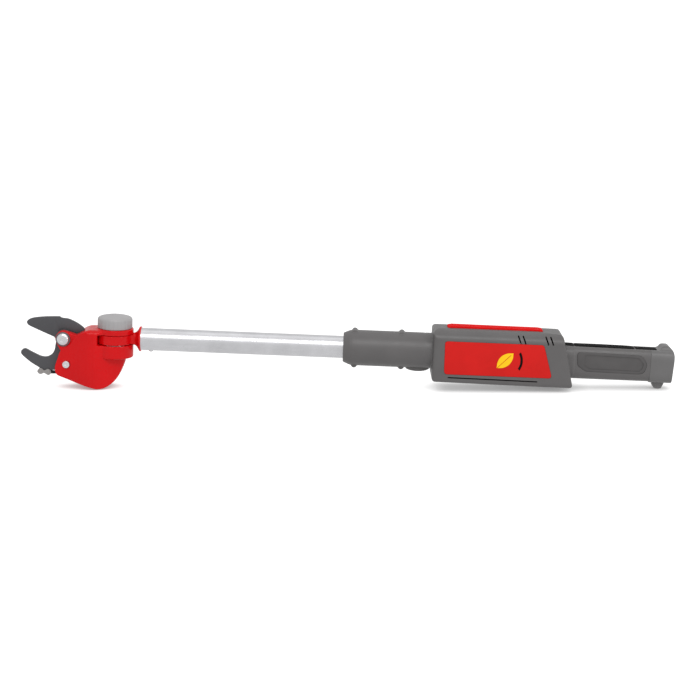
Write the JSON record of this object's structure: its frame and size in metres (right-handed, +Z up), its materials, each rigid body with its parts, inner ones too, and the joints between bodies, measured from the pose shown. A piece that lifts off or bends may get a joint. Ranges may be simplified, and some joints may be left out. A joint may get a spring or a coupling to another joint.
{
  "type": "telescoping pole pruner",
  "caption": "Battery pole pruner: a long grey handle with red side panels, a sliding metal tube and a red swivelling head with a hooked jaw and a bypass blade.",
  "frame": {"origin": "under the middle of the whole tool, level with the lowest point of the gearbox", "axes": "+X runs along the tube from the cutting head to the grip's end, +Z is up along the swivel knob's axis, and the side with the pivot bolt's round head faces -Y"},
  "size_m": [0.8751, 0.0656, 0.1036],
  "materials": {
    "housing_plastic": "moulded dark grey, fine texture",
    "cap_plastic": "moulded mid grey, fine texture",
    "red_plastic": "satin red",
    "red_casting": "gloss red powder coat",
    "knob_plastic": "light grey, satin",
    "tool_steel": "dark non-stick coating over ground steel",
    "zinc_steel": "bright zinc plate",
    "tube_aluminium": "satin anodised",
    "black_plastic": "black, satin",
    "pad_rubber": "soft grey over-mould",
    "yellow_print": "yellow print",
    "cell_wrap": "blue shrink wrap",
    "board_green": "green solder mask",
    "sintered_steel": "sintered, oiled",
    "brass": "machined"
  },
  "bodies": {
    "handle": {"shell_left": "housing_plastic", "shell_right": "housing_plastic", "shell_screws": "zinc_steel", "top_strip": "red_plastic", "side_panel_left": "red_plastic", "side_panel_right": "red_plastic", "side_mark_left": "yellow_print", "side_mark_right": "yellow_print", "grip_pad_left": "pad_rubber", "grip_pad_right": "pad_rubber", "end_cap": "cap_plastic", "bush_front": "black_plastic", "bush_rear": "black_plastic", "battery_cells": "cell_wrap", "cell_tray": "black_plastic", "cell_straps": "zinc_steel", "control_board": "board_green", "charge_socket": "black_plastic", "trigger_switch": "black_plastic", "trigger_pin": "zinc_steel", "lock_pin": "zinc_steel", "trigger_spring": "zinc_steel"},
    "trigger": {"trigger_paddle": "housing_plastic"},
    "lock": {"lock_lever": "housing_plastic", "lock_shoe": "pad_rubber"},
    "pole": {"tube": "tube_aluminium", "tail_plug": "black_plastic", "coil_lead": "black_plastic", "neck": "red_casting", "swivel_washers": "zinc_steel", "snap_spring": "zinc_steel"},
    "snap": {"snap_button": "zinc_steel"},
    "head": {"head_casting": "red_casting", "head_cover": "red_casting", "cover_screws": "zinc_steel", "jaw": "tool_steel", "jaw_screw": "zinc_steel", "heel_link": "zinc_steel", "link_stay": "black_plastic", "pivot_bolt": "zinc_steel", "pivot_washer": "zinc_steel", "pivot_nut": "zinc_steel", "motor": "zinc_steel", "clamp_nut": "zinc_steel"},
    "blade": {"blade": "tool_steel"},
    "drive": {"drive_shaft": "zinc_steel", "drive_pinion": "sintered_steel", "reduction_gear": "sintered_steel"},
    "rotor": {"motor_pinion": "brass", "motor_shaft": "zinc_steel"},
    "lift": {"knob_washer": "zinc_steel"},
    "knob": {"knob": "knob_plastic", "clamp_bolt": "zinc_steel"}
  },
  "joints": [
    {"name": "pole_slide", "type": "slide", "parent": "handle", "child": "pole", "axis": [-1, 0, 0], "range_m": [0, 0.2], "deforming": ["coil_lead"]},
    {"name": "head_swivel", "type": "hinge", "parent": "pole", "child": "head", "pos_m": [-0.314, 0, 0.0672], "axis": [0, 0, 1], "range_deg": [-75, 75]},
    {"name": "knob_lift", "type": "slide", "parent": "head", "child": "lift", "axis": [0, 0, 1], "range_m": [0, 0.00188]},
    {"name": "knob_turn", "type": "hinge", "parent": "lift", "child": "knob", "pos_m": [-0.314, 0, 0.0672], "axis": [0, 0, 1], "range_deg": [0, 540]},
    {"name": "blade_close", "type": "hinge", "parent": "head", "child": "blade", "pos_m": [-0.3813, 0, 0.0655], "axis": [0, -1, 0], "range_deg": [0, 46]},
    {"name": "drive_turn", "type": "hinge", "parent": "head", "child": "drive", "pos_m": [-0.35825, 0, 0.04245], "axis": [0, -1, 0], "range_deg": [-153.4, 0]},
    {"name": "rotor_turn", "type": "hinge", "parent": "head", "child": "rotor", "pos_m": [-0.34062, 0, 0.02601], "axis": [0, -1, 0], "range_deg": [0, 460.2]},
    {"name": "trigger_press", "type": "hinge", "parent": "handle", "child": "trigger", "pos_m": [0.3066, 0, 0.0796], "axis": [0, 1, 0], "range_deg": [0, 2.4], "stiffness_Nm_per_rad": 6, "springref_deg": -1.15, "deforming": ["trigger_spring"]},
    {"name": "lock_release", "type": "hinge", "parent": "handle", "child": "lock", "pos_m": [0.106, 0, 0.0466], "axis": [0, -1, 0], "range_deg": [0, 18], "stiffness_Nm_per_rad": 0.6, "springref_deg": -17.19},
    {"name": "snap_press", "type": "slide", "parent": "pole", "child": "snap", "axis": [0, 0, 1], "range_m": [0, 0.0023], "stiffness_N_per_m": 1500, "springref_m": -0.001, "deforming": ["snap_spring"]}
  ],
  "couplings": [
    {"joint": "drive_turn", "follows": "blade_close", "ratio": -3.3333},
    {"joint": "rotor_turn", "follows": "blade_close", "ratio": 10},
    {"joint": "knob_lift", "follows": "knob_turn", "m_per_rad": 0.00019894}
  ]
}
